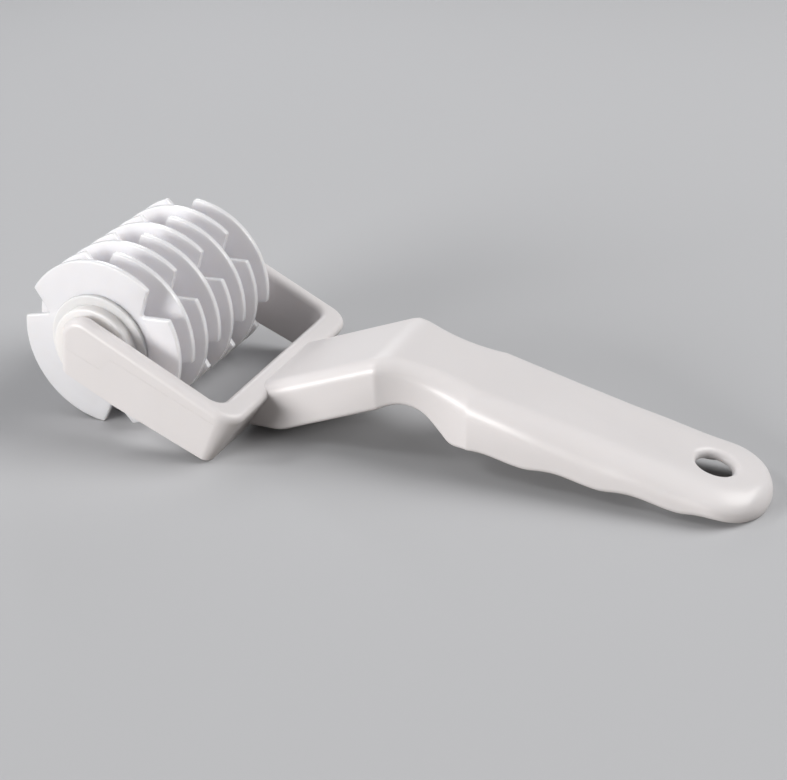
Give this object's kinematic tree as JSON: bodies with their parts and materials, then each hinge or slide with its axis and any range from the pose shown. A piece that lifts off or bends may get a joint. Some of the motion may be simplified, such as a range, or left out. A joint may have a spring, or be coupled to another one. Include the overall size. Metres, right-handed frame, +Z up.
{
  "type": "lattice roller cutter",
  "caption": "Hand roller with notched cutting discs on a keyed core, turning in a forked handle with a finger-hollowed, open-backed grip and a hanging hole; it slits pastry into a lattice.",
  "frame": {"origin": "on the table under the middle of the whole cutter's box, with the cutter lying on its discs and on the handle's tip", "axes": "+X from the roller towards the handle's tip, +Y along the roller's axle, +Z up"},
  "size_m": [0.1676, 0.0602, 0.04],
  "materials": {
    "handle_plastic": "glossy warm white moulded plastic",
    "disc_plastic": "glossy cool white moulded plastic, slightly translucent",
    "core_plastic": "satin white moulded plastic"
  },
  "bodies": {
    "handle": {"handle": "handle_plastic"},
    "roller": {"roller_core": "core_plastic", "cutter_disc_1": "disc_plastic", "cutter_disc_2": "disc_plastic", "cutter_disc_3": "disc_plastic", "cutter_disc_4": "disc_plastic", "cutter_disc_5": "disc_plastic", "cutter_disc_6": "disc_plastic", "cutter_disc_7": "disc_plastic", "cutter_disc_8": "disc_plastic", "spacer_ring_1": "core_plastic", "spacer_ring_2": "core_plastic", "spacer_ring_3": "core_plastic", "spacer_ring_4": "core_plastic", "spacer_ring_5": "core_plastic", "spacer_ring_6": "core_plastic", "spacer_ring_7": "core_plastic", "end_collar_near": "core_plastic", "end_collar_far": "core_plastic"}
  },
  "joints": [
    {"name": "roller_spin", "type": "hinge", "parent": "handle", "child": "roller", "pos_m": [-0.06385, 0, 0.02], "axis": [0, 1, 0], "continuous": true}
  ]
}
